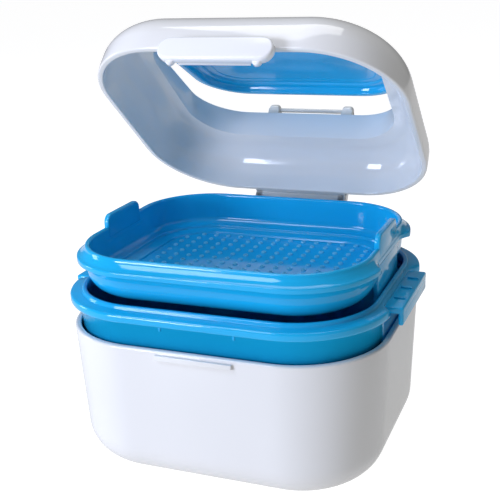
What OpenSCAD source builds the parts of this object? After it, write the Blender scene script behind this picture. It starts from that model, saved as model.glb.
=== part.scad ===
// Denture soaking case: white base and hinged lid, blue basin, blue strainer and blue window cover.
// Drawn as the photograph shows it: the lid open, and the loose pieces lifted part way.
// Origin: middle of the flat underside. +X to the right, -Y is the latch side, +Z up. Millimetres.

/* [Case] */
// half of the width over the base rim
half_w = 57; // [50:0.5:65]
// half of the depth over the base rim
half_d = 50.4; // [44:0.2:58]
// corner radius of the rim in plan
corner_r = 31.2; // [22:0.2:38]
// height of the base rim above the table
base_h = 50.5; // [40:0.5:62]
// how much narrower the base is at its foot, per side
draft = 2.4; // [1:0.1:4]
// rounding between the base wall and its foot
foot_r = 13; // [8:0.5:18]
// wall of the base and of the lid
wall = 2.1; // [1.6:0.1:3]
// gap between nested walls
nest_gap = 0.4; // [0.2:0.05:0.8]

/* [Lid] */
// height of the lid shell
lid_h = 19.6; // [16:0.2:26]
// rounding of the lid's outer shoulder
lid_r = 15; // [8:0.5:16]
// lid angle above closed, as drawn
lid_open = 41.2; // [30:0.1:60]
// how far the lid is lifted above its seat, as drawn
lid_lift = 23.7; // [16:0.1:28]
// width of the lid beside the window
band_x = 14.6; // [12:0.1:20]
// width of the lid in front of the window and behind it
band_y = 15.8; // [15:0.1:22]
// how much tighter the window's corners are than the lid's
win_tight = 12.2; // [8:0.1:16]
// width of the window frame wall
frame_t = 2; // [1.4:0.1:3]
// slope of the window frame's top
slope = 7; // [4:0.5:10]
// height of the frame's top at the middle of the window
frame_z = 24.5; // [24.5:0.1:30]

/* [Hinge] */
// half of the width of the hinge leaf
leaf_half = 15.7; // [12:0.1:20]
// thickness of the hinge leaf
leaf_t = 2; // [1.4:0.1:3]
// radius of the hinge pin
pin_r = 1.2; // [0.9:0.05:1.6]
// radius of a knuckle
knuckle_r = 2.7; // [2.2:0.1:3.4]
// radial clearance of a pin that turns
run_gap = 0.06; // [0.02:0.01:0.1]
// distance of the hinge axis behind the rear wall
axis_back = 4; // [4:0.1:5.5]
// distance of the hinge axis below the mouth of the lid
axis_drop = 11.1; // [9:0.1:14]

/* [Window cover] */
// angle of the cover above its seat, as drawn
cover_open = 7.5; // [0:0.5:30]
// radius of the cover's hinge bar
bar_r = 0.5; // [0.4:0.05:0.8]

/* [Basin] */
// thickness of the basin's rim flange
flange_t = 3; // [2:0.1:4]
// how far the basin is lifted above its seat, as drawn
basin_lift = 8.5; // [4:0.5:12]
// reach of the rim flange beyond the case's outline
flange_out = 0.8; // [0.2:0.1:1]
// wall of the basin and of the strainer
tray_wall = 1.8; // [1.2:0.1:2.4]
// half of the length of a grip tab
tab_half = 18.6; // [10:0.5:24]
// reach of a grip tab beyond the flange
tab_out = 4.0; // [3:0.2:8]

/* [Strainer] */
// how far the strainer is lifted above its seat in the basin, as drawn
strainer_lift = 9.7; // [5:0.1:12]
// depth of the strainer below its flange
strainer_deep = 10.4; // [8:0.1:16]
// how far the guide tongues reach below the strainer's flange
tongue_deep = 16.3; // [12:0.1:18]
// height of the strainer's lip above the underside of its flange
lip_h = 5.5; // [3:0.1:8]
// thickness of the strainer's flange
sflange_t = 2; // [1.4:0.1:3]
// half of the length of a finger ear
ear_half = 12; // [8:0.5:16]
// diameter of a drain hole
drain_d = 1.4; // [1.4:0.1:3]
// spacing of the drain holes
drain_pitch = 5.25; // [4:0.25:12]

/* [Hidden] */
$fn = 48;
eps = 0.02;
// heights, from the table up, as drawn
seat_z = base_h;                                  // basin flange seat
bas_z = seat_z + basin_lift;                      // underside of the basin flange
bas_in = wall + nest_gap;                         // inset of the basin body at its flange
blip_in = 3.4;                                    // inset of the basin lip
blip_top = bas_z + flange_t + 1.5;                // top of the basin lip
str_z = blip_top + strainer_lift;                 // underside of the strainer flange
str_in = blip_in + tray_wall + nest_gap;          // inset of the strainer body
str_top = str_z + lip_h;                          // top of the strainer lip
str_bot = str_z - strainer_deep;                  // underside of the strainer
sfl_in = wall + 0.55;                             // inset of the strainer flange
floor_t = 2.4;                                    // base floor
cut_half = 20;                                    // half length of the cut in the flanges
ledge_in = str_in + tray_wall + 3.2;              // inset of the strainer's ledge
floor_in = str_in + tray_wall + 8.3;              // inset of its flat floor
drain_cols = floor((half_w - floor_in - 3) / drain_pitch);
drain_rows = floor((half_d - floor_in - 3) / drain_pitch);
// hinge
mouth_z = base_h + flange_t + lid_lift;           // lid mouth before it turns
ax_y = half_d + axis_back;
ax_z = mouth_z - axis_drop;
rail_top = base_h + flange_t - axis_drop - knuckle_r - 0.7;
rail_len = 24;
leaf_len = ax_z - rail_top + 10;                  // ten millimetres stay in the rails
lug_in = leaf_half + 0.3;
lug_out = lug_in + 3.4;
arm_y = half_d + flange_out + nest_gap;           // front of the hinge arms, behind the flange
// window frame
win_a = half_w - band_x; win_b = half_d - band_y; win_r = corner_r - win_tight; win_y = 0.8;
ceil_z = lid_h - wall;
// cover
cov_a = win_a + frame_t - 0.8; cov_b = win_b + frame_t + 0.2; cov_r = win_r + frame_t + 2; cov_t = 1.8;
// bar behind the window, between two lugs
cl_x = 16; cl_w = 4.6; cl_r = 2.3; cl_y = cov_b + cl_r + 5; cl_z = 5.2;
// hinge of the cover, in front of the window
cb_r = bar_r + 0.5; cb_y = -(cov_b + cb_r + 0.2); cb_z = 0; cb_half = 8;
// latch
lat_half = 20; lat_top = 1.7; lat_bot = -6.8; lat_t = 2.8;
ridge_half = 13.5; ridge_z = base_h - 2.9; ridge_h = 1.7; ridge_out = 1.2;
lat_y = half_d + ridge_out + nest_gap;            // back of the flap, clear of the ridge
lat_ax_y = -(lat_y + 1.3); lat_ax_z = 0.2; lat_pin_r = 0.7; lat_pin_half = 13.8;
lat_boss_x = 10; lat_boss_w = 3; lat_boss_r = 1; nub_x = 15; nub_r = 1.5;
hook_top = ridge_z - base_h - flange_t - 0.2;     // top of the hook, just under the ridge
lug_foot = frame_z - lid_h + 10.5;                // how far the rear lugs reach below the slope

// piece to draw

// rounded rectangle of half sizes a, b and radius r
module rect(a, b, r) {
  square([2 * a, 2 * (b - r)], center = true);
  square([2 * (a - r), 2 * b], center = true);
  for (sx = [-1, 1], sy = [-1, 1]) translate([sx * (a - r), sy * (b - r)]) circle(r);
}

// the rim outline, inset by i
module plan(i) { rect(half_w - i, half_d - i, max(corner_r - i, 2)); }

// thin slice of the rim outline, inset by i, at height z
module slice(i, z) { translate([0, 0, z]) linear_extrude(eps) plan(i); }

// bowl-shaped solid: inset i1 at height z1, narrowing by d over its height, rounded by r to height z0
module bowl(i1, z1, z0, d, r) {
  h = z1 - z0;
  k = d / h;
  hull() {
    slice(i1, z1 - eps);
    for (t = [0 : 15 : 90])
      slice(i1 + k * (h - r) + r * (1 - cos(t)) + k * r * sin(t) * 0.5, z0 + r * (1 - sin(t)));
  }
}

// raised bar along X with round ends, seen from the front
module bar(half, h, t) {
  rotate([90, 0, 0]) linear_extrude(t) hull() {
    translate([-half + h / 2, 0]) circle(h / 2);
    translate([half - h / 2, 0]) circle(h / 2);
  }
}

module base_tub() color("white") {
  difference() {
    bowl(0, base_h, 0, draft, foot_r);
    translate([0, 0, eps]) bowl(wall, base_h + eps, floor_t, draft, foot_r - wall);
  }
  // catch ridge for the latch
  translate([0, -half_d + 0.9, ridge_z + ridge_h / 2])
    bar(ridge_half, ridge_h, ridge_out + 0.9);
  // rails that hold the hinge leaf
  difference() {
    for (s = [-1, 1]) translate([s > 0 ? leaf_half - 1.6 : -leaf_half - 3.4, half_d - 1.9, rail_top - rail_len])
      cube([5, axis_back + 4.3, rail_len]);
    translate([-leaf_half - 0.25, ax_y - leaf_t / 2 - 0.2, 0])
      cube([2 * leaf_half + 0.5, leaf_t + 0.4, base_h + 10]);
  }
}

// flat leaf that rides in the rails and carries the lid's hinge pin
module hinge_leaf() color("white") difference() {
  union() {
    translate([-leaf_half, ax_y - leaf_t / 2, ax_z - leaf_len]) cube([2 * leaf_half, leaf_t, leaf_len]);
    translate([-leaf_half, ax_y, ax_z]) rotate([0, 90, 0]) cylinder(r = knuckle_r, h = 2 * leaf_half);
  }
  translate([-leaf_half - 1, ax_y, ax_z]) rotate([0, 90, 0]) cylinder(r = pin_r, h = 2 * leaf_half + 2);
}

module hinge_pin() color("silver") translate([-lug_out, ax_y, ax_z]) rotate([0, 90, 0])
  cylinder(r = pin_r, h = 2 * lug_out);

// turns closed lid coordinates (mouth at z 0, centred) into the drawn place
module lid_place() translate([0, ax_y, ax_z]) rotate([-lid_open, 0, 0])
  translate([0, -ax_y, mouth_z - ax_z]) children();

// the sloping plane of the window frame's top
module on_slope() translate([0, win_y, frame_z]) rotate([slope, 0, 0]) children();

module lid_shell() translate([0, 0, lid_h]) mirror([0, 0, 1]) difference() {
  bowl(0, lid_h, 0, 0.01, lid_r);
  bowl(wall, lid_h + eps, wall, 0.01, lid_r - wall);
}

module lid_frame() color("white") lid_place() difference() {
  union() {
    difference() {
      lid_shell();
      // shallow groove that the cover's barrel sinks into
      on_slope() translate([-cb_half - 0.3, cb_y, cb_z]) rotate([0, 90, 0])
        cylinder(r = cb_r + 0.2, h = 2 * cb_half + 0.6);
    }
    // window frame, higher towards the hinge
    difference() {
      translate([0, win_y, ceil_z]) linear_extrude(frame_z) rect(win_a + frame_t, win_b + frame_t, win_r + frame_t);
      on_slope() translate([-2 * half_w, -2 * half_d, 0]) cube([4 * half_w, 4 * half_d, 2 * frame_z]);
    }
    on_slope() {
      // lugs behind the window with a bar between them, and a low wall under the bar
      for (s = [-1, 1]) translate([s * cl_x - cl_w / 2, cl_y, 0]) {
        translate([0, 0, cl_z]) rotate([0, 90, 0]) cylinder(r = cl_r, h = cl_w);
        translate([0, -cl_r, -lug_foot]) cube([cl_w, 2 * cl_r, lug_foot + cl_z]);
      }
      translate([-cl_x, cl_y, cl_z]) rotate([0, 90, 0]) cylinder(r = 0.9, h = 2 * cl_x);
      translate([-cl_x, cl_y - 0.8, -lug_foot]) cube([2 * cl_x, 1.6, lug_foot + cl_z - 1.8]);
      // lugs and bar in front of the window, for the cover to turn on
      for (s = [-1, 1]) translate([s > 0 ? cb_half + 0.3 : -cb_half - 3.3, cb_y, 0]) {
        translate([0, 0, cb_z]) rotate([0, 90, 0]) cylinder(r = cb_r, h = 3);
        translate([0, -cb_r, -2]) cube([3, 2 * cb_r, 2 + cb_z]);
        translate([0, -cb_r, -2]) cube([3, cb_r + 3, 1.9]);
      }
      translate([-cb_half - 1, cb_y, cb_z]) rotate([0, 90, 0]) cylinder(r = bar_r, h = 2 * cb_half + 2);
    }
    // hinge arms that reach down behind the base's rear wall, and the apron between them
    for (s = [-1, 1]) translate([s > 0 ? lug_in : -lug_out, 0, 0]) {
      translate([0, ax_y, -axis_drop]) rotate([0, 90, 0]) cylinder(r = knuckle_r, h = lug_out - lug_in);
      translate([0, arm_y, -axis_drop]) cube([lug_out - lug_in, ax_y + knuckle_r - 0.6 - arm_y, axis_drop]);
      translate([0, half_d - 1, 0]) cube([lug_out - lug_in, axis_back + knuckle_r + 0.4, 3]);
    }
    translate([-lug_out, half_d - 1, 0]) cube([2 * lug_out, arm_y + 1.6 - half_d + 1, 2.4]);
    translate([-lug_out, arm_y, -2.6]) cube([2 * lug_out, 1.6, 3]);
    // bosses for the latch pin
    for (s = [-1, 1]) translate([s * lat_boss_x - lat_boss_w / 2, 0, 0]) {
      translate([0, lat_ax_y, lat_ax_z]) rotate([0, 90, 0]) cylinder(r = lat_boss_r, h = lat_boss_w);
      translate([0, lat_ax_y, 0]) cube([lat_boss_w, -lat_ax_y - half_d + 1, lat_ax_z + lat_boss_r + 0.2]);
    }
  }
  translate([0, win_y, 0]) linear_extrude(2 * frame_z) rect(win_a, win_b, win_r);
  translate([-lug_out - 1, ax_y, -axis_drop]) rotate([0, 90, 0])
    cylinder(r = pin_r + run_gap, h = 2 * lug_out + 2);
  translate([-lat_half, lat_ax_y, lat_ax_z]) rotate([0, 90, 0])
    cylinder(r = lat_pin_r, h = 2 * lat_half);
}

// flap with round ends, hooks under the ridge of the base
module latch_flap() color("white") lid_place() difference() {
  union() {
    translate([0, -lat_y, (lat_top + lat_bot) / 2]) bar(lat_half, lat_top - lat_bot, lat_t);
    // hook rib that passes under the ridge
    translate([-ridge_half + 1, -lat_y - 0.5, lat_bot]) cube([2 * ridge_half - 2, 1.5, hook_top - lat_bot]);
    for (s = [-1, 1]) translate([s * nub_x, -lat_y, lat_bot + 0.4]) rotate([90, 0, 0]) cylinder(r = nub_r, h = 1.6);
  }
  for (s = [-1, 1]) translate([s * lat_boss_x - lat_boss_w / 2 - 0.3, lat_ax_y - lat_boss_r - 0.15, lat_ax_z - 1.7])
    cube([lat_boss_w + 0.6, -lat_y - lat_ax_y + lat_boss_r + 0.8, 4.4]);
  translate([-lat_pin_half - 0.2, lat_ax_y, lat_ax_z]) rotate([0, 90, 0])
    cylinder(r = lat_pin_r + run_gap, h = 2 * lat_pin_half + 0.4);
}

module latch_pin() color("silver") lid_place() translate([-lat_pin_half, lat_ax_y, lat_ax_z])
  rotate([0, 90, 0]) cylinder(r = lat_pin_r, h = 2 * lat_pin_half);

// stepped cover that closes the window and turns on the bar in front of it, drawn ajar
module window_cover() color("dodgerblue") lid_place() on_slope()
  translate([0, cb_y, cb_z]) rotate([cover_open, 0, 0]) translate([0, -cb_y, -cb_z]) difference() {
    union() {
      linear_extrude(cov_t) rect(cov_a, cov_b, cov_r);
      translate([0, 0, -2]) linear_extrude(2.2) rect(win_a - nest_gap, win_b - nest_gap - 0.4, win_r - nest_gap);
      translate([0, 0, cov_t - eps]) linear_extrude(0.8) rect(cov_a - 6, cov_b - 6, cov_r - 6);
      // barrel on the hinge bar, and the tongue that joins it to the plate
      translate([-cb_half, cb_y, cb_z]) rotate([0, 90, 0]) cylinder(r = cb_r, h = 2 * cb_half);
      translate([-cb_half, cb_y, 0]) cube([2 * cb_half, cb_r + 3, cov_t]);
    }
    translate([-cb_half - 1, cb_y, cb_z]) rotate([0, 90, 0]) cylinder(r = bar_r + run_gap, h = 2 * cb_half + 2);
    translate([0, 0, -2 - eps]) linear_extrude(2.6) rect(win_a - 3.2, win_b - 3.4, win_r - 3);
    translate([0, 0, -2 - eps]) linear_extrude(3.6) rect(win_a - 6.4, win_b - 6.6, win_r - 6);
    translate([0, 0, -2 - eps]) linear_extrude(3.9) rect(win_a - 9.6, win_b - 9.8, win_r - 8);
  }

// deep tub with a bead flange, a short lip and a grip tab on each side
module basin() color("dodgerblue") {
  k = draft / base_h;
  bot = floor_t + 0.6 + basin_lift;
  difference() {
    union() {
      bowl(bas_in, bas_z + 0.1, bot, k * (bas_z - bot), foot_r - wall - nest_gap);
      // bead flange, cut away at the sides
      difference() {
        translate([0, 0, bas_z]) linear_extrude(flange_t) plan(-flange_out);
        for (s = [-1, 1]) translate([s > 0 ? half_w - 2 : -half_w - 2, -cut_half, bas_z - 1])
          cube([4, 2 * cut_half, flange_t + 2]);
      }
      translate([0, 0, bas_z]) linear_extrude(blip_top - bas_z) plan(blip_in);
      // grip tabs, turned down at the end
      for (s = [0, 1]) mirror([s, 0, 0]) {
        translate([half_w - 3, -tab_half, bas_z]) cube([3 + tab_out, 2 * tab_half, flange_t - 0.6]);
        translate([half_w + tab_out - 1.8, -tab_half, bas_z - 4]) cube([1.8, 2 * tab_half, flange_t + 3.4]);
        for (y = [-tab_half * 0.55, 0, tab_half * 0.55])
          translate([half_w - 1, y - 0.6, bas_z]) cube([tab_out, 1.2, flange_t]);
      }
    }
    bowl(bas_in + tray_wall, bas_z + 0.1, bot + tray_wall, k * (bas_z - bot), foot_r - wall - nest_gap - tray_wall);
    translate([0, 0, bas_z - 0.5]) linear_extrude(blip_top - bas_z + 2) plan(blip_in + tray_wall);
  }
  // two short ribs under the flange at the front
  for (x = [-12.6, 13.4]) translate([x - 0.4, -half_d + bas_in - 0.2, bas_z - 2.6]) cube([0.8, 1, 2.8]);
}

// shallow drain basket with finger ears and guide tongues at the sides
module strainer() color("dodgerblue") difference() {
  union() {
    difference() {
      union() {
        bowl(str_in, str_z + 0.1, str_bot, 0.8, 7);
        difference() {
          translate([0, 0, str_z]) linear_extrude(sflange_t) plan(sfl_in);
          for (s = [-1, 1]) translate([s > 0 ? half_w - str_in - 0.4 : -half_w - 4, -18, str_z - 1])
            cube([str_in + 4.4, 36, sflange_t + 2]);
        }
        translate([0, 0, str_z]) linear_extrude(lip_h) plan(str_in);
      }
      translate([0, 0, str_bot + 3.5]) bowl(str_in + tray_wall, str_z + 0.1 - str_bot - 3.5, 0, 0.5, 3);
      translate([0, 0, str_bot + 1.6]) linear_extrude(20) plan(floor_in);
      translate([0, 0, str_bot + 2.3]) linear_extrude(20) plan(ledge_in);
      translate([0, 0, str_z - 0.5]) linear_extrude(lip_h + 2) plan(str_in + tray_wall);
    }
    // ears
    for (s = [0, 1]) mirror([s, 0, 0]) {
      translate([half_w - str_in - tray_wall, 0, str_top - 1]) rotate([90, 0, 90]) linear_extrude(tray_wall)
        offset(r = 3) offset(delta = -3) translate([-ear_half, -3]) square([2 * ear_half, 8.4]);
      // guide tongue that stays inside the basin's lip
      translate([half_w - str_in - tray_wall, -14, str_z - tongue_deep]) cube([tray_wall, 28, tongue_deep + 0.4]);
    }
  }
  // drain holes on a square grid, left out where the floor's corners are round
  for (j = [-drain_rows : drain_rows], i = [-drain_cols : drain_cols])
    if (norm([max(abs(i) * drain_pitch - half_w + corner_r, 0), max(abs(j) * drain_pitch - half_d + corner_r, 0)])
        < corner_r - floor_in - 1.6)
      translate([i * drain_pitch, j * drain_pitch, str_bot - 1]) cylinder(d = drain_d, h = 6, $fn = 8);
}

base_tub();
hinge_leaf();
hinge_pin();
lid_frame();
latch_flap();
latch_pin();
window_cover();
basin();
strainer();
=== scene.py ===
# %% [markdown]
# # A denture soaking case
# The real object is a moulded plastic box: a white base, a white lid that is only a frame round a
# window, a blue cover for that window, and two blue trays that nest in the base. The photograph
# shows it open, with the trays and the cover lifted. This lesson dresses the CAD frame of it.

# %% load the frame
import math
import bpy
import bmesh
import numpy as np
from mathutils import Matrix, Vector


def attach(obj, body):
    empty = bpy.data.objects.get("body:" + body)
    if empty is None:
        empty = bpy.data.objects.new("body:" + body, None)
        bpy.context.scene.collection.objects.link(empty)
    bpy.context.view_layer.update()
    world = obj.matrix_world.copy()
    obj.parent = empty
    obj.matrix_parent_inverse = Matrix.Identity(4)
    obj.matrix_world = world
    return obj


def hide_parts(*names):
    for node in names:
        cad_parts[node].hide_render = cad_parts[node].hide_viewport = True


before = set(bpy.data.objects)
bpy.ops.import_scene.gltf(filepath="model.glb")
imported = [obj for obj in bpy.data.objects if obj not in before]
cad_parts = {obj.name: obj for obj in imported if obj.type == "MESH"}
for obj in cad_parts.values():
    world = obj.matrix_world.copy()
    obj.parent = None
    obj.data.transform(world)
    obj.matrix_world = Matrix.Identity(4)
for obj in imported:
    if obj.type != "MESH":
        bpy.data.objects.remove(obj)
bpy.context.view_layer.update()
MM = 0.001
print("nodes:", sorted(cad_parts))

# %% [markdown]
# ## Sizes
# The same named sizes as the part's source, in millimetres. The shells all share one outline, a
# rounded rectangle, so a wall is that outline moved inwards by an inset.

# %% sizes of the case
HALF_W, HALF_D, CORNER = 57.0, 50.4, 31.2
BASE_H, DRAFT, FOOT_R = 50.5, 2.4, 13.0
WALL, NEST = 2.1, 0.4
LID_H, LID_R, LID_OPEN, LID_LIFT = 19.6, 15.0, 41.2, 23.7
FRAME_T, SLOPE, FRAME_Z = 2.0, 7.0, 24.5
FLANGE_T, FLANGE_OUT, BASIN_LIFT, TRAY_WALL = 3.0, 0.8, 8.5, 1.8
LEAF_HALF, LEAF_T, KNUCKLE_R, AXIS_BACK, AXIS_DROP = 15.7, 2.0, 2.7, 4.0, 11.1
AX_Y = HALF_D + AXIS_BACK
MOUTH_Z = BASE_H + FLANGE_T + LID_LIFT
AX_Z = MOUTH_Z - AXIS_DROP
RAIL_TOP = BASE_H + FLANGE_T - AXIS_DROP - KNUCKLE_R - 0.7
ARM_Y = HALF_D + FLANGE_OUT + NEST
print("hinge axis at y %.1f, z %.1f mm" % (AX_Y, AX_Z))

# %% [markdown]
# ## One outline for every ring
# A ring is walked in eight stretches: four quarter circles and four straight sides, each with a
# fixed number of points. Point 7 of one ring then lies beside point 7 of the next, whatever their
# sizes, and two rings can be joined by quads or mixed.

# %% the outline
ARC_N, SIDE_N = 26, 14


def outline(a, b, r, y0=0.0):
    """Rounded rectangle: corner centre plus r times (cos, sin) on arcs, straight lines between."""
    r = min(r, a - 0.01, b - 0.01)
    turn = np.linspace(0, np.pi / 2, ARC_N)
    parts = []
    for k, (sx, sy) in enumerate([(1, 1), (-1, 1), (-1, -1), (1, -1)]):
        t = turn + k * np.pi / 2
        parts.append(np.c_[sx * (a - r) + r * np.cos(t), sy * (b - r) + r * np.sin(t)])
    out = []
    for k in range(4):
        end, start = parts[k][-1], parts[(k + 1) % 4][0]
        share = np.linspace(0, 1, SIDE_N + 2)[1:-1, None]
        out += [parts[k], end + (start - end) * share]
    return np.vstack(out) + [0.0, y0]


def ring(inset, z):
    """The case's outline moved inwards by inset, at height z."""
    p = outline(HALF_W - inset, HALF_D - inset, max(CORNER - inset, 2.0))
    return np.c_[p, np.full(len(p), float(z))]


N = len(ring(0, 0))
print("points round a ring:", N)


# %% from rings to a mesh
def mesh_piece(name, verts, faces, smooth=True):
    """Puts points (millimetres) and faces into a new object at the origin."""
    me = bpy.data.meshes.new(name)
    me.from_pydata((np.asarray(verts) * MM).tolist(), [], faces)
    me.validate()
    bm = bmesh.new()
    bm.from_mesh(me)
    bmesh.ops.remove_doubles(bm, verts=bm.verts, dist=1e-7)
    bmesh.ops.recalc_face_normals(bm, faces=bm.faces)
    bm.to_mesh(me)
    bm.free()
    me.polygons.foreach_set("use_smooth", np.full(len(me.polygons), smooth))
    ob = bpy.data.objects.new(name, me)
    bpy.context.scene.collection.objects.link(ob)
    return ob


def loft(name, rings, closed=False):
    """Quads between neighbouring rings; ends are closed with a fan to their middle, unless the
    stack of rings closes on itself."""
    R = np.array(rings)
    m, n = R.shape[:2]
    i, j = np.meshgrid(np.arange(m if closed else m - 1), np.arange(n), indexing="ij")
    a = i * n + j
    b = i * n + (j + 1) % n
    c = ((i + 1) % m) * n + (j + 1) % n
    d = ((i + 1) % m) * n + j
    faces = np.stack([a, b, c, d], -1).reshape(-1, 4).tolist()
    verts = R.reshape(-1, 3)
    if not closed:
        verts = np.vstack([verts, R[0].mean(0), R[-1].mean(0)])
        k = np.arange(n)
        first, last = m * n, m * n + 1
        faces += np.c_[np.full(n, first), (k + 1) % n, k].tolist()
        faces += np.c_[np.full(n, last), (m - 1) * n + k, (m - 1) * n + (k + 1) % n].tolist()
    return mesh_piece(name, verts, faces)


def arc(ci, cz, r, a0, a1, n=7):
    """Profile points (inset, z) on a circle about (ci, cz), from angle a0 to a1 in degrees."""
    t = np.radians(np.linspace(a0, a1, n))
    return np.c_[ci - r * np.cos(t), cz + r * np.sin(t)].tolist()


def bowl_profile(i1, z1, z0, d, r, n=18):
    """The source's bowl: a straight drafted wall from z1 down, then a quarter round to z0."""
    h = z1 - z0
    k = d / h
    t = np.radians(np.linspace(0, 90, n))
    inset = i1 + k * (h - r) + r * (1 - np.cos(t)) + k * r * np.sin(t) * 0.5
    return [[i1, z1]] + np.c_[inset, z0 + r * (1 - np.sin(t))].tolist()


# %% [markdown]
# ## Materials
# Both plastics are injection moulded and polished. Gloss comes from a low roughness with the IOR
# of polypropylene and ABS, near 1.5. What breaks the perfect gloss of a render is what breaks it on
# the real one: slow waves a few centimetres long, where the wall sinks as it cools, and a haze of
# fine scuffs that makes the roughness vary. The snap flap is drawn in a whiter white than the lid,
# and the collars round the drain holes get a paler blue, which is a painted highlight on them.

# %% colours and nodes
def srgb(text):
    """'#RRGGBB' as linear RGBA: each channel over 255, then the sRGB curve undone."""
    c = np.array([int(text[k:k + 2], 16) for k in (1, 3, 5)]) / 255
    lin = np.where(c <= 0.04045, c / 12.92, ((c + 0.055) / 1.055) ** 2.4)
    return (*lin.tolist(), 1.0)


def add(tree, kind, values=None, **settings):
    """Adds one node, sets its settings and its inputs; an input value may be a socket to link."""
    node = tree.nodes.new(kind)
    for key, value in settings.items():
        setattr(node, key, value)
    for key, value in (values or {}).items():
        if isinstance(value, bpy.types.NodeSocket):
            tree.links.new(value, node.inputs[key])
        else:
            node.inputs[key].default_value = value
    return node


SINK_WAVE, COAT_ROUGH = 0.02, 0.06


def moulded(name, light, dark, rough, ior, coat=0.0):
    """Polished moulded plastic: colour drifts between two near shades over 40 mm, roughness
    varies over 12 mm, and the surface waves slowly."""
    mat = bpy.data.materials.new(name)
    mat.use_nodes = True
    t = mat.node_tree
    t.nodes.clear()
    place = add(t, "ShaderNodeTexCoord").outputs["Object"]
    drift = add(t, "ShaderNodeTexNoise", {"Vector": place, "Scale": 25.0, "Detail": 1.0})
    ramp = add(t, "ShaderNodeValToRGB", {"Fac": drift.outputs["Fac"]})
    ramp.color_ramp.elements[0].position, ramp.color_ramp.elements[1].position = 0.3, 0.7
    ramp.color_ramp.elements[0].color, ramp.color_ramp.elements[1].color = srgb(light), srgb(dark)
    scuff = add(t, "ShaderNodeTexNoise", {"Vector": place, "Scale": 80.0, "Detail": 4.0})
    matt = add(t, "ShaderNodeMapRange", {
        "Value": scuff.outputs["Fac"], "From Min": 0.3, "From Max": 0.7,
        "To Min": rough * 0.8, "To Max": rough * 1.25})
    sink = add(t, "ShaderNodeTexNoise", {"Vector": place, "Scale": 30.0, "Detail": 0.0})
    bump = add(t, "ShaderNodeBump", {
        "Height": sink.outputs["Fac"], "Strength": SINK_WAVE, "Distance": 0.01})
    shader = add(t, "ShaderNodeBsdfPrincipled", {
        "Base Color": ramp.outputs["Color"], "Roughness": matt.outputs["Result"],
        "Normal": bump.outputs["Normal"]})
    shader.inputs["IOR"].default_value = ior
    shader.inputs["Coat Weight"].default_value = coat
    shader.inputs["Coat Roughness"].default_value = COAT_ROUGH
    add(t, "ShaderNodeOutputMaterial", {"Surface": shader.outputs["BSDF"]})
    return mat


white_abs = moulded("white_polished_abs", "#F0EFEC", "#ECEBE8", 0.09, 1.5, coat=0.25)
white_flap = moulded("white_polished_abs_flap", "#FAFAFA", "#F7F7F8", 0.12, 1.5, coat=0.25)
blue_pp = moulded("blue_polished_polypropylene", "#1CB6EC", "#18B1E8", 0.08, 1.45, coat=0.15)
# Paler blue for the drain collars: a painted highlight.
blue_painted_highlight = moulded("blue_polypropylene_painted_highlight", "#6FD2F6", "#66CEF2", 0.1, 1.45)
steel = moulded("pin_drawn_steel", "#C4C6CA", "#B4B6BA", 0.3, 1.5)
steel.node_tree.nodes["Principled BSDF"].inputs["Metallic"].default_value = 1.0
print("materials:", [m.name for m in (white_abs, white_flap, blue_pp, blue_painted_highlight, steel)])


def finish(ob, mat, body, node=None):
    """Gives a piece its material, its body and the node it stands for."""
    ob.data.materials.clear()
    ob.data.materials.append(mat)
    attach(ob, body)
    if node:
        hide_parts(node)
    return ob


# %% [markdown]
# ## Small solids
# Tabs, rails and ribs are moulded blocks, so their edges are rounded. A bevel modifier does that
# to a block whose corners are worked out in one array.

# %% rounded blocks
def block(name, low, high, soft=0.4, steps=3):
    """A box from its low to its high corner, with every edge rounded by soft millimetres."""
    low, high = np.array(low, float), np.array(high, float)
    pick = np.array([[0, 0, 0], [1, 0, 0], [1, 1, 0], [0, 1, 0],
                     [0, 0, 1], [1, 0, 1], [1, 1, 1], [0, 1, 1]])
    verts = low + (high - low) * pick
    faces = [(0, 3, 2, 1), (4, 5, 6, 7), (0, 1, 5, 4), (1, 2, 6, 5), (2, 3, 7, 6), (3, 0, 4, 7)]
    ob = mesh_piece(name, verts, faces)
    if soft:
        mod = ob.modifiers.new("soft", "BEVEL")
        mod.width, mod.segments, mod.limit_method = soft * MM, steps, "NONE"
        apply_all(ob)
    return ob


def apply_all(ob):
    """Applies every modifier and keeps the result as the object's own mesh."""
    dep = bpy.context.evaluated_depsgraph_get()
    me = bpy.data.meshes.new_from_object(ob.evaluated_get(dep))
    ob.modifiers.clear()
    old, ob.data = ob.data, me
    me.name = old.name
    me.polygons.foreach_set("use_smooth", np.full(len(me.polygons), True))


def join(name, pieces):
    """Merges pieces into one object; they may overlap, as moulded features do."""
    bm = bmesh.new()
    for p in pieces:
        bm.from_mesh(p.data)
        bpy.data.objects.remove(p)
    me = bpy.data.meshes.new(name)
    bm.to_mesh(me)
    bm.free()
    me.polygons.foreach_set("use_smooth", np.full(len(me.polygons), True))
    ob = bpy.data.objects.new(name, me)
    bpy.context.scene.collection.objects.link(ob)
    return ob


def move(ob, matrix):
    """Moves the mesh itself, in millimetres, so that the object stays at the origin."""
    ob.data.transform(matrix)
    return ob


def shift(x, y, z):
    return Matrix.Translation(Vector((x, y, z)) * MM)


def rod(name, r, x0, x1, y, z, n=40, cap=0.25):
    """A bar along X: circles of radius r, whose ends are rounded by cap."""
    t = np.linspace(0, 2 * np.pi, n, endpoint=False)
    a = np.radians(np.linspace(90, 0, 5))
    x = np.r_[x0 + cap * (1 - np.sin(a)), x1 - cap * (1 - np.sin(a[::-1]))]
    q = np.r_[r - cap * (1 - np.cos(a)), r - cap * (1 - np.cos(a[::-1]))]
    rings = [np.c_[np.full(n, k), y + s * np.cos(t), z + s * np.sin(t)] for k, s in zip(x, q)]
    return loft(name, rings)


# %% [markdown]
# ## The base
# A drafted tub: its wall leans in by 2.4 mm towards the foot, so that it slips from the mould, and
# turns into the floor in a wide round. One profile runs up the outside, over the rounded rim and
# down the inside, and the rings carry it round the outline.

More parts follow.
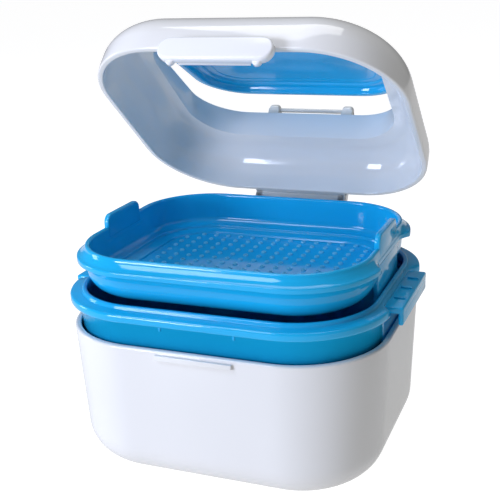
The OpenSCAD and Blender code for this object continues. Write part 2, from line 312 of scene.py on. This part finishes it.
# %% base shell
RIM_R, INNER_R, BASE_FLOOR, MIDDLE = 0.8, 0.5, 2.4, 30
outer = bowl_profile(0, BASE_H - RIM_R, 0, DRAFT, FOOT_R)[::-1]
inner = bowl_profile(WALL, BASE_H - RIM_R, BASE_FLOOR, DRAFT, FOOT_R - WALL)
rim = (arc(RIM_R, BASE_H - RIM_R, RIM_R, 0, 90)
       + arc(WALL - INNER_R, BASE_H - INNER_R, INNER_R, 90, 180))
profile = [[MIDDLE, 0]] + outer + rim + inner + [[MIDDLE, BASE_FLOOR]]
base_shell = loft("base_shell", [ring(i, z) for i, z in profile])
finish(base_shell, white_abs, "base", "base_tub")
print("base shell:", len(base_shell.data.polygons), "faces")

# %% [markdown]
# Under the rim at the front runs the catch ridge that the latch hooks under. At the back, two
# rails hold the flat hinge leaf, each of a web, an edge strip and a lip.

# %% catch ridge and rails
RAIL_LONG, RAIL_OUT, RAIL_GAP, LEAF_DOWN = 24, 3.4, 0.2, 10


def stadium(half, h, n=24):
    """Outline in the X-Z plane: two half circles of diameter h joined by straight lines."""
    r = h / 2
    t = np.linspace(-np.pi / 2, np.pi / 2, n)
    right = np.c_[half - r + r * np.cos(t), r * np.sin(t)]
    left = np.c_[-(half - r) - r * np.cos(t), -r * np.sin(t)]
    return np.vstack([right, left])


def plate(name, half, h, y_back, y_front, soft, z=0.0):
    """A round-ended plate facing -Y: the outline shrinks by 1 - cos t and moves by sin t of soft
    at the front edge, so the edge is a quarter round."""
    rings = [np.insert(stadium(half - 0.2, h - 0.4), 1, y_back, axis=1),
             np.insert(stadium(half, h), 1, y_back - 0.2, axis=1)]
    for t in np.radians(np.linspace(0, 90, 7)):
        s = soft * (1 - math.cos(t))
        edge_y = y_front + soft * (1 - math.sin(t))
        rings.append(np.insert(stadium(half - s, h - 2 * s), 1, edge_y, axis=1))
    return loft(name, [r + [0, 0, z] for r in rings])


RIDGE_HALF, RIDGE_OUT, RIDGE_LOW, RIDGE_TOP = 13.5, 1.2, BASE_H - 2.9, BASE_H - 1.2
ridge = block("catch_ridge", (-RIDGE_HALF, -HALF_D - RIDGE_OUT, RIDGE_LOW),
              (RIDGE_HALF, -HALF_D + 0.8, RIDGE_TOP), 0.15)
finish(ridge, white_abs, "base", "base_tub")
rails = []
for s in (-1, 1):
    x0, x1 = sorted((s * (LEAF_HALF - 1.6), s * (LEAF_HALF + RAIL_OUT)))
    e0, e1 = sorted((s * (LEAF_HALF + 0.3), s * (LEAF_HALF + RAIL_OUT)))
    z0, z1 = RAIL_TOP - RAIL_LONG, RAIL_TOP
    rails += [block("r", (x0, HALF_D - 1.9, z0), (x1, AX_Y - LEAF_T / 2 - RAIL_GAP, z1)),
              block("r", (e0, AX_Y - 1.6, z0), (e1, AX_Y + 1.6, z1), 0.2),
              block("r", (x0, AX_Y + LEAF_T / 2 + RAIL_GAP, z0),
                    (x1, HALF_D + AXIS_BACK + 2.4, z1))]
finish(join("leaf_rails", rails), white_abs, "base", "base_tub")

# %% [markdown]
# ## The hinge leaf
# A flat strip that slides in the rails. Its upper edge is rolled into a knuckle round the pin.

# %% hinge leaf
leaf = join("hinge_leaf_plate", [
    block("l", (-LEAF_HALF, AX_Y - LEAF_T / 2, RAIL_TOP - LEAF_DOWN),
          (LEAF_HALF, AX_Y + LEAF_T / 2, AX_Z), 0.3),
    rod("l", KNUCKLE_R, -LEAF_HALF, LEAF_HALF, AX_Y, AX_Z)])
finish(leaf, white_abs, "leaf", "hinge_leaf")
for pin in ("hinge_pin", "latch_pin"):
    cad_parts[pin].data.materials.clear()
    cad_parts[pin].data.materials.append(steel)

# %% [markdown]
# ## The lid
# The lid is drawn shut, with its mouth at z 0, and then turned about the hinge axis. Its shell
# rises to a wide shoulder, then meets the frame of the window, whose top slopes up to the hinge.
# Both outlines have as many points, so the shell flows into the frame ring by ring.

# %% lid placing
WIN_A, WIN_B, WIN_R, WIN_Y = 42.4, 34.6, 19.0, 0.8  # the window's half sizes, corner and middle
COVER_OPEN = 7.5
lid_place = (shift(0, AX_Y, AX_Z) @ Matrix.Rotation(math.radians(-LID_OPEN), 4, "X")
             @ shift(0, -AX_Y, MOUTH_Z - AX_Z))
on_slope = shift(0, WIN_Y, FRAME_Z) @ Matrix.Rotation(math.radians(SLOPE), 4, "X")


def frame_ring(grow, dz=None, z=None):
    """The window's outline grown by grow, at height z, or dz above the sloping top plane."""
    p = outline(WIN_A + grow, WIN_B + grow, WIN_R + grow, WIN_Y)
    if z is None:
        top = FRAME_Z + (p[:, 1] - WIN_Y) * math.tan(math.radians(SLOPE)) + dz
    else:
        top = np.full(len(p), float(z))
    return np.c_[p, top]


def shoulder(inset, r, top):
    """Height of the lid's rounded shoulder at an inset, for a round of radius r ending at top."""
    x = np.clip(r - inset, 0, r)
    return top - r + math.sqrt(max(r * r - x * x, 0))


# %% lid shell
mouth = arc(0.7, 0.7, 0.7, 0, -90) + arc(WALL - 0.5, 0.5, 0.5, -90, -180)
wall_out = [(0, 3.0)] + [(i, shoulder(i, LID_R, LID_H)) for i in
                         LID_R * (1 - np.cos(np.radians(np.linspace(8, 72, 16))))]
ceil_r, ceil_z = LID_R - WALL, LID_H - WALL
wall_in = [(WALL + i, shoulder(i, ceil_r, ceil_z)) for i in
           ceil_r * (1 - np.cos(np.radians(np.linspace(72, 6, 14))))] + [(WALL, 3.0)]
rings = [ring(i, z) for i, z in mouth[:7][::-1]] + [ring(i, z) for i, z in wall_out]
foot = frame_ring(FRAME_T, dz=-0.5)
foot[:, 2] = np.minimum(foot[:, 2], LID_H + 0.4)
rings += [frame_ring(FRAME_T + 1.2, z=LID_H - 0.12), frame_ring(FRAME_T + 0.4, z=LID_H - 0.06)]
rings += [foot]
rings += [frame_ring(g, dz=d) for g, d in (
    (FRAME_T, -0.35), (FRAME_T - 0.1, -0.1), (FRAME_T - 0.35, 0.0),
    (0.45, 0.0), (0.13, -0.13), (0, -0.45))]
rings += [frame_ring(g, z=ceil_z + d) for g, d in ((0, 0.4), (0.12, 0.12), (0.5, 0.0))]
rings += [ring(i, z) for i, z in wall_in] + [ring(i, z) for i, z in mouth[7:][::-1]]
lid_shell = move(loft("lid_shell", rings, closed=True), lid_place)
finish(lid_shell, white_abs, "lid", "lid_frame")
print("lid shell:", len(lid_shell.data.polygons), "faces")

# %% [markdown]
# Behind the window two lugs carry a bar, with a low wall under it. In front of it two smaller lugs
# carry the bar that the cover turns on. Two arms reach down from the rear wall to the hinge pin,
# with an apron between them. Each lug is a half disc on top of a block.

# %% lid lugs
CL_X, CL_W, CL_R, CL_Z = 16.0, 4.6, 2.3, 5.2
COV_A, COV_B, COV_T = WIN_A + FRAME_T - 0.8, WIN_B + FRAME_T + 0.2, 1.8
COV_R = WIN_R + FRAME_T + 2
CL_Y, LUG_FOOT = COV_B + CL_R + 5, FRAME_Z - LID_H + 10.5
CB_R, CB_HALF, REAR_BAR_R, COVER_BAR_R = 1.0, 8.0, 0.9, 0.5
CB_Y, CB_Z = -(COV_B + CB_R + 0.2), 0.0
parts = []
for s in (-1, 1):
    x0 = s * CL_X - CL_W / 2
    parts += [rod("g", CL_R, x0, x0 + CL_W, CL_Y, CL_Z, cap=1.3),
              block("g", (x0, CL_Y - CL_R, -LUG_FOOT), (x0 + CL_W, CL_Y + CL_R, CL_Z), 0.25)]
    x0, x1 = sorted((s * (CB_HALF + 0.3), s * (CB_HALF + 3.3)))
    parts += [rod("g", CB_R, x0, x1, CB_Y, CB_Z),
              block("g", (x0, CB_Y - CB_R, -2), (x1, CB_Y + CB_R, CB_Z), 0.2),
              block("g", (x0, CB_Y - CB_R, -2), (x1, CB_Y + 3, -0.1), 0.2)]
parts += [rod("g", REAR_BAR_R, -CL_X, CL_X, CL_Y, CL_Z),
          rod("g", COVER_BAR_R, -CB_HALF - 1, CB_HALF + 1, CB_Y, CB_Z),
          block("g", (-CL_X, CL_Y - 0.8, -LUG_FOOT), (CL_X, CL_Y + 0.8, CL_Z - 1.8), 0.3)]
cover_lugs = move(move(join("cover_lugs", parts), on_slope), lid_place)
finish(cover_lugs, white_abs, "lid", "lid_frame")

# %% groove for the cover's barrel
tool = rod("groove_tool", CB_R + 0.2, -CB_HALF - 0.3, CB_HALF + 0.3, CB_Y, CB_Z)
tool = move(move(tool, on_slope), lid_place)
cut = lid_shell.modifiers.new("groove", "BOOLEAN")
cut.operation, cut.object, cut.solver = "DIFFERENCE", tool, "EXACT"
apply_all(lid_shell)
bpy.data.objects.remove(tool)
lid_shell.data.set_sharp_from_angle(angle=math.radians(35))

# %% hinge arms
parts = []
lug_in, lug_out = LEAF_HALF + 0.3, LEAF_HALF + 3.7
for s in (-1, 1):
    x0, x1 = sorted((s * lug_in, s * lug_out))
    parts += [rod("h", KNUCKLE_R, x0, x1, AX_Y, -AXIS_DROP),
              block("h", (x0, ARM_Y, -AXIS_DROP), (x1, AX_Y + KNUCKLE_R - 0.6, 0.3), 0.4),
              block("h", (x0, HALF_D - 1, 0.05), (x1, AX_Y + KNUCKLE_R - 0.6, 3), 0.4)]
parts += [block("h", (-lug_out, HALF_D - 1, 0.05), (lug_out, ARM_Y + 1.6, 2.4), 0.3),
          block("h", (-lug_out, ARM_Y, -2.6), (lug_out, ARM_Y + 1.6, 0.4), 0.3)]
hinge_arms = move(join("hinge_arms", parts), lid_place)
finish(hinge_arms, white_abs, "lid", "lid_frame")

# %% [markdown]
# ## The latch flap
# A round-ended plate on the front of the lid. Its lower edge reaches past the mouth, where a hook
# rib and two small nubs grip the ridge of the base.

# %% latch flap
LAT_Y = HALF_D + 1.2 + NEST
LAT_TOP, LAT_BOT, LAT_T = 1.7, -6.8, 2.8
LAT_AX_Y, LAT_AX_Z = -(LAT_Y + 1.3), 0.2
LAT_HALF, HOOK_HALF = 20, 12.5
flap = plate("latch_plate", LAT_HALF, LAT_TOP - LAT_BOT, -LAT_Y, -LAT_Y - LAT_T, 0.9,
             z=(LAT_TOP + LAT_BOT) / 2)
hook = block("hook", (-HOOK_HALF, -LAT_Y - 0.5, LAT_BOT),
             (HOOK_HALF, -LAT_Y + 1.0, LAT_BOT + 0.7), 0.15)
NUB_X, NUB_N = 15, 32
nubs = []
for s in (-1, 1):
    t = np.linspace(0, 2 * np.pi, NUB_N, endpoint=False)
    nubs.append(loft("nub", [
        np.c_[s * NUB_X + q * np.cos(t), np.full(NUB_N, y), LAT_BOT + 0.4 + q * np.sin(t)]
        for y, q in ((-LAT_Y, 1.5), (-LAT_Y - 1.3, 1.5), (-LAT_Y - 1.6, 1.2))]))
latch = move(join("latch_flap_plate", [flap, hook] + nubs), lid_place)
finish(latch, white_flap, "latch", "latch_flap")
parts = []
for s in (-1, 1):
    x0 = s * 10 - 1.5
    parts += [rod("b", 1.0, x0, x0 + 3, LAT_AX_Y, LAT_AX_Z),
              block("b", (x0, LAT_AX_Y, 0), (x0 + 3, -HALF_D + 1, 1.4), 0.2)]
latch_bosses = move(join("latch_bosses", parts), lid_place)
finish(latch_bosses, white_abs, "lid", "lid_frame")

# %% [markdown]
# ## The window cover
# A blue plate with a step on top and a stepped rim below that fits inside the frame. Each step is
# one more ring of the profile, so the lit edges in the photograph come from real shoulders.

# %% window cover
def cover_ring(s, z, rim=False):
    """The plate's outline, or with rim the window's own, moved inwards by s, on the slope."""
    a, b, r = (WIN_A, WIN_B - 0.2, WIN_R) if rim else (COV_A, COV_B, COV_R)
    p = outline(a - s, b - s, max(r - s, 3))
    return np.c_[p, np.full(len(p), float(z))]


upper = [(30, 2.58), (6.6, 2.58), (6.0, 2.4), (6.0, COV_T + 0.15), (5.8, COV_T), (0.8, COV_T),
         (0.2, COV_T - 0.25), (0, COV_T - 0.7), (0, 0.5), (0.15, 0.12), (0.5, 0.0)]
lower = [(0.2, 0.0), (0.4, -0.2), (0.4, -1.6), (0.55, -1.9), (0.9, -2.0), (2.7, -2.0), (3.1, -1.85),
         (3.2, -1.5), (3.2, 0.4), (3.4, 0.58), (6.1, 0.58), (6.4, 0.7), (6.4, 1.4), (6.6, 1.58),
         (9.3, 1.58), (9.6, 1.65), (9.6, 1.8), (9.8, 1.88), (30, 1.88)]
plate_rings = [cover_ring(s, z) for s, z in upper] + [cover_ring(s, z, True) for s, z in lower]
cover = join("window_cover_plate", [
    loft("cover_plate", plate_rings),
    rod("c", CB_R, -CB_HALF, CB_HALF, CB_Y, CB_Z),
    block("c", (-CB_HALF, CB_Y, 0.02), (CB_HALF, CB_Y + CB_R + 3, COV_T), 0.2)])
ajar = (shift(0, CB_Y, CB_Z) @ Matrix.Rotation(math.radians(COVER_OPEN), 4, "X")
        @ shift(0, -CB_Y, -CB_Z))
move(move(move(cover, ajar), on_slope), lid_place)
finish(cover, blue_pp, "cover", "window_cover")

# %% [markdown]
# ## The basin
# A deep blue tub with a bead flange that is cut away at the sides. A ring whose reach depends on
# where it is does that: a weight that falls to 0 near the middle of each side mixes the flange's
# outline with the wall's, and leaves a rounded lobe at each corner.

# %% basin
SEAT = BASE_H
BAS_Z = SEAT + BASIN_LIFT
BAS_IN = WALL + NEST
LIP_IN, LIP_TOP = 3.4, BAS_Z + FLANGE_T + 1.5
K = DRAFT / BASE_H
FOOT_GAP = 0.6
BOT = BASE_FLOOR + FOOT_GAP + BASIN_LIFT


def cut_ring(outset, inset, z, half, soft=2.5):
    """Mixes two outlines: the wide one where |y| > half, the narrow one between, by a smooth step
    soft millimetres long. The front and back are always wide."""
    wide, narrow = ring(outset, z), ring(inset, z)
    u = np.clip((np.abs(wide[:, 1]) - half) / soft, 0, 1)
    w = u * u * (3 - 2 * u)
    return narrow + (wide - narrow) * w[:, None]


wall_in_b, foot_r = BAS_IN + TRAY_WALL, FOOT_R - WALL - NEST
lean = K * (BAS_Z - BOT)
out_b = bowl_profile(BAS_IN, BAS_Z, BOT, lean, foot_r)[::-1]
in_b = bowl_profile(wall_in_b, BAS_Z - 0.4, BOT + TRAY_WALL, lean, foot_r - TRAY_WALL)
rings = [ring(MIDDLE, BOT)] + [ring(i, z) for i, z in out_b]
for o, z in ((0.7, 0.0), (0.25, 0.18), (0.0, 0.7), (0.0, 2.3), (0.25, 2.8), (0.7, FLANGE_T)):
    rings.append(cut_ring(o - FLANGE_OUT, 2.2 + o * 0.5, BAS_Z + z, 20))
rings += [ring(LIP_IN - 0.25, BAS_Z + FLANGE_T), ring(LIP_IN, BAS_Z + FLANGE_T + 0.25)]
rings += [ring(i, z) for i, z in arc(LIP_IN + 0.9, LIP_TOP - 0.9, 0.9, 0, 180, 12)]
rings += [ring(LIP_IN + TRAY_WALL, BAS_Z + 0.3)] + [ring(i, z) for i, z in in_b]
rings += [ring(MIDDLE, BOT + TRAY_WALL)]
basin_shell = loft("basin_shell", rings)
finish(basin_shell, blue_pp, "basin", "basin")

# %% [markdown]
# The grip tabs stand out in the cut-away stretch and turn down at the end, with ribs across. The
# short upright ribs below the flange at the front are copied from the photograph too.

# %% grip tabs
TAB_HALF, TAB_OUT, TAB_SOFT = 18.6, 4.0, 0.7
# The turned-down part stays this far inside the flat one, so that their faces don't coincide.
STEP_BACK = 0.08
parts = []
for s in (-1, 1):
    def span(a, b):
        return sorted((s * a, s * b))
    x0, x1 = span(HALF_W - 3, HALF_W + TAB_OUT)
    parts.append(block("t", (x0, -TAB_HALF, BAS_Z),
                       (x1, TAB_HALF, BAS_Z + FLANGE_T - 0.6), TAB_SOFT, 4))
    x0, x1 = span(HALF_W + TAB_OUT - 1.8, HALF_W + TAB_OUT - STEP_BACK)
    parts.append(block("t", (x0, STEP_BACK - TAB_HALF, BAS_Z - 4),
                       (x1, TAB_HALF - STEP_BACK, BAS_Z + 1.6), TAB_SOFT, 4))
    x0, x1 = span(HALF_W - 1, HALF_W + TAB_OUT - 1)
    for y in (-TAB_HALF * 0.55, 0, TAB_HALF * 0.55):
        parts.append(block("t", (x0, y - 0.6, BAS_Z), (x1, y + 0.6, BAS_Z + FLANGE_T), 0.3))
rib_y = -HALF_D + BAS_IN
for x in (-12.6, 13.4):
    parts.append(block("t", (x - 0.4, rib_y - 0.2, BAS_Z - 2.6),
                       (x + 0.4, rib_y + 0.7, BAS_Z + 0.2), 0.15))
finish(join("grip_tabs", parts), blue_pp, "basin", "basin")

# %% [markdown]
# ## The strainer
# A shallow basket. Its floor steps down twice, and a square field of drain holes has raised
# collars that catch some light, and a paler blue paints a highlight on them. The field is one
# small collar, repeated by adding an array of centres to one array of points.

# %% strainer sizes
STR_LIFT, STR_DEEP, LIP_H, SFL_T = 9.7, 10.4, 5.5, 2.0
STR_Z = LIP_TOP + STR_LIFT
STR_IN = LIP_IN + TRAY_WALL + NEST
STR_TOP, STR_BOT, SFL_IN = STR_Z + LIP_H, STR_Z - STR_DEEP, WALL + 0.55
PITCH, EAR, EAR_UP, TONGUE, TONGUE_HALF = 5.25, 12.0, 4.4, 16.3, 14
print("strainer lip at z %.1f, floor at %.1f mm" % (STR_TOP, STR_BOT))

# %% strainer shell
out_s = bowl_profile(STR_IN, STR_Z, STR_BOT, 0.8, 7)[::-1]
FLOOR_IN, FLOOR_T = STR_IN + TRAY_WALL + 8.6, 1.6
rings = [ring(FLOOR_IN, STR_BOT)] + [ring(i, z) for i, z in out_s]
for o, z in ((0.45, 0.0), (0.05, 0.15), (0.0, 0.5), (0.0, 1.5), (0.05, 1.85), (0.45, SFL_T)):
    rings.append(cut_ring(SFL_IN + o, STR_IN - 0.4 + o * 0.5, STR_Z + z, 18))
# The band above the flange flares out to it, drawn as (distance out of the wall, height).
flare = ((2.2, 0.12), (1.75, 0.4), (1.3, 0.8), (0.9, 1.25), (0.5, 1.75), (0.2, 2.15))
rings += [cut_ring(STR_IN - s, STR_IN - 0.1 * s, STR_Z + SFL_T + h, 18) for s, h in flare]
rings += [ring(i, z) for i, z in arc(STR_IN + 0.9, STR_TOP - 0.9, 0.9, 0, 180, 12)]
wi = STR_IN + TRAY_WALL
corner = bowl_profile(wi, STR_Z - 1, STR_BOT + 3.5, 0.5, 3)[1:]
inside = [(wi, STR_Z + 1)] + [p for p in corner if p[0] < wi + 2.9]
# Two steps, each with a soft edge: down to the ledge, then down to the floor.
inside += [(wi + i, STR_BOT + z) for i, z in (
    (3.1, 3.5), (3.3, 3.2), (3.3, 2.6), (3.6, 2.3), (8.1, 2.3), (8.3, 2.15), (8.3, 1.8))]
rings += [ring(i, z) for i, z in inside + [(FLOOR_IN, STR_BOT + FLOOR_T)]]
strainer_shell = loft("strainer_shell", rings, closed=True)

# %% drain holes
HOLE_N, DRILL_R, FIELD_IN, EDGE = 20, 0.7, FLOOR_IN - 0.3, 3.0
COLS = int((HALF_W - FIELD_IN - EDGE) // PITCH)
ROWS = int((HALF_D - FIELD_IN - EDGE) // PITCH)
rows, cols = np.meshgrid(np.arange(-ROWS, ROWS + 1), np.arange(-COLS, COLS + 1), indexing="ij")
centres = np.c_[cols.ravel(), rows.ravel()] * PITCH
past = np.maximum(np.abs(centres) - [HALF_W - CORNER, HALF_D - CORNER], 0)
centres = centres[np.hypot(past[:, 0], past[:, 1]) < CORNER - FIELD_IN - 1.6]
t = np.linspace(0, 2 * np.pi, HOLE_N, endpoint=False)
circle = np.c_[np.cos(t), np.sin(t)]


def repeat(name, profile, closed=True):
    """One turned form for each drain hole: a profile of (radius, height) swept round its centre."""
    made = []
    for c in centres:
        turned = [np.c_[circle * r + c, np.full(HOLE_N, STR_BOT + h)] for r, h in profile]
        made.append(loft(name, turned, closed=closed))
    return join(name, made)


drain_floor = loft("drain_floor", [ring(FLOOR_IN - 0.1, STR_BOT + z) for z in (0.0, FLOOR_T)])
tool = repeat("drill", [(DRILL_R, -1), (DRILL_R, 3)], closed=False)
cut = drain_floor.modifiers.new("drill", "BOOLEAN")
cut.operation, cut.object, cut.solver = "DIFFERENCE", tool, "EXACT"
apply_all(drain_floor)
bpy.data.objects.remove(tool)
flat = np.full(len(drain_floor.data.polygons), False)
drain_floor.data.polygons.foreach_set("use_smooth", flat)
drain_collars = repeat("drain_collars", [(0.5, 1.5), (0.52, 1.9), (0.62, 2.12), (0.76, 2.14),
                                         (0.9, 1.95), (0.96, 1.65), (0.97, 1.5)])
finish(strainer_shell, blue_pp, "strainer", "strainer")
finish(drain_floor, blue_pp, "strainer", "strainer")
# The collars get the paler blue, a painted highlight.
finish(drain_collars, blue_painted_highlight, "strainer", "strainer")
print("drain holes:", len(centres))

# %% [markdown]
# Two finger ears stand up from the sides, each with rounded upper corners, and a flat tongue below
# each one guides the basket in the basin.

# %% ears
def upright(name, x0, x1, half, z0, z1, r, soft=0.4):
    """A plate across X: a rectangle whose two upper corners are quarter rounds of radius r."""
    t = np.radians(np.linspace(0, 90, 10))
    right = np.c_[half - r + r * np.cos(t), z1 - r + r * np.sin(t)]
    left = np.c_[-(half - r) - r * np.cos(t[::-1]), z1 - r + r * np.sin(t[::-1])]
    face = np.vstack([[half, z0], right, left, [-half, z0]])
    mid_z, third = (z0 + z1) / 2, soft * 0.3
    rings = []
    for x, s in ((x0, soft), (x0 + third, third), (x0 + soft, 0),
                 (x1 - soft, 0), (x1 - third, third), (x1, soft)):
        f = face.copy()
        f[:, 0] -= np.sign(f[:, 0]) * s
        f[:, 1] -= np.sign(f[:, 1] - mid_z) * s
        rings.append(np.c_[np.full(len(f), x), f])
    return loft(name, rings)


parts = []
for s in (-1, 1):
    x0, x1 = sorted((s * (HALF_W - STR_IN - TRAY_WALL), s * (HALF_W - STR_IN)))
    parts.append(upright("e", x0 - 0.12, x1 + 0.12, EAR, STR_TOP - 4, STR_TOP + EAR_UP, 3.0))
    parts.append(block("e", (x0 - 0.06, -TONGUE_HALF, STR_Z - TONGUE),
                       (x1 + 0.06, TONGUE_HALF, STR_Z + 1), 0.5))
finish(join("finger_ears", parts), blue_pp, "strainer", "strainer")

# %% [markdown]
# ## Floor, light and camera
# A pale floor and large soft lights, as in a product studio. The floor is burnt out to white for
# the camera, as the photograph's is, and gives the object only half as much light. The camera
# stands where the photograph's outlines put it: 25 degrees to the right, 18 degrees up and about a
# third of a metre away.

# %% floor
bpy.ops.mesh.primitive_plane_add(size=8, location=(0, 0, -0.0002))
ground = bpy.context.object
ground.name = "studio_floor"
paper = bpy.data.materials.new("pale_paper")
paper.use_nodes = True
tree = paper.node_tree
sheet = tree.nodes["Principled BSDF"]
sheet.inputs["Base Color"].default_value = srgb("#8E8E90")
sheet.inputs["Roughness"].default_value = 0.9
sheet.inputs["Emission Color"].default_value = (1, 1, 1, 1)
path = add(tree, "ShaderNodeLightPath")
burnt_out = add(tree, "ShaderNodeMapRange", {
    "Value": path.outputs["Is Camera Ray"], "To Min": 0.5, "To Max": 0.94})
tree.links.new(burnt_out.outputs["Result"], sheet.inputs["Emission Strength"])
ground.data.materials.append(paper)

# %% light
scene = bpy.context.scene
scene.view_settings.view_transform = "Standard"
world = bpy.data.worlds.new("studio")
scene.world = world
world.use_nodes = True
world.node_tree.nodes["Background"].inputs["Color"].default_value = srgb("#F2F3F6")
world.node_tree.nodes["Background"].inputs["Strength"].default_value = 0.16


def lamp(name, place, target, size, power, wide=None, tint="#FFFFFF"):
    """An area light at place facing target, size metres high and wide metres wide."""
    data = bpy.data.lights.new(name, "AREA")
    data.shape = "RECTANGLE"
    data.size, data.size_y = wide or size, size
    data.energy, data.color = power, srgb(tint)[:3]
    ob = bpy.data.objects.new(name, data)
    ob.location = place
    ob.rotation_euler = (Vector(target) - Vector(place)).to_track_quat("-Z", "Y").to_euler()
    scene.collection.objects.link(ob)


mid, COOL = (0, 0, 0.08), "#DFE7FF"
lamp("key", (-0.4, -0.65, 0.85), mid, 0.35, 3.9, wide=0.45, tint=COOL)
lamp("front_low", (-0.6, -0.95, 0.2), mid, 0.3, 7.7, wide=0.4, tint=COOL)
lamp("side_left", (-0.9, -0.1, 0.2), mid, 0.4, 1.5, wide=0.2, tint=COOL)
lamp("top", (-0.05, 0.15, 0.9), mid, 0.5, 2.8, wide=0.6)

# %% camera
cam_place = np.array([121.05, -297.18, 173.29]) * MM
look = np.array([-0.39867, 0.86057, -0.317])
F, PX, PY, ROLL, HALF_PIC = 934.4, 206.7, 263.2, math.radians(-3.145), 250
right = np.cross(look, [0, 0, 1.0])
right /= np.linalg.norm(right)
up = np.cross(right, look)
r2 = right * math.cos(ROLL) + up * math.sin(ROLL)
u2 = -right * math.sin(ROLL) + up * math.cos(ROLL)
# The ray through the middle of the picture becomes the new axis, so no lens shift is left.
axis = look * F + r2 * (HALF_PIC - PX) - u2 * (HALF_PIC - PY)
axis /= np.linalg.norm(axis)
side = np.cross(axis, u2)
side /= np.linalg.norm(side)
top = np.cross(side, axis)
M = np.eye(4)
M[:3, 0], M[:3, 1], M[:3, 2], M[:3, 3] = side, top, -axis, cam_place
cam = bpy.data.cameras.new("photo_camera")
cam.sensor_width, cam.lens = 36, F / (2 * HALF_PIC) * 36
cam.clip_start = 0.01
eye = bpy.data.objects.new("photo_camera", cam)
eye.matrix_world = Matrix(M.tolist())
scene.collection.objects.link(eye)
scene.camera = eye
print("camera lens %.1f mm" % cam.lens)
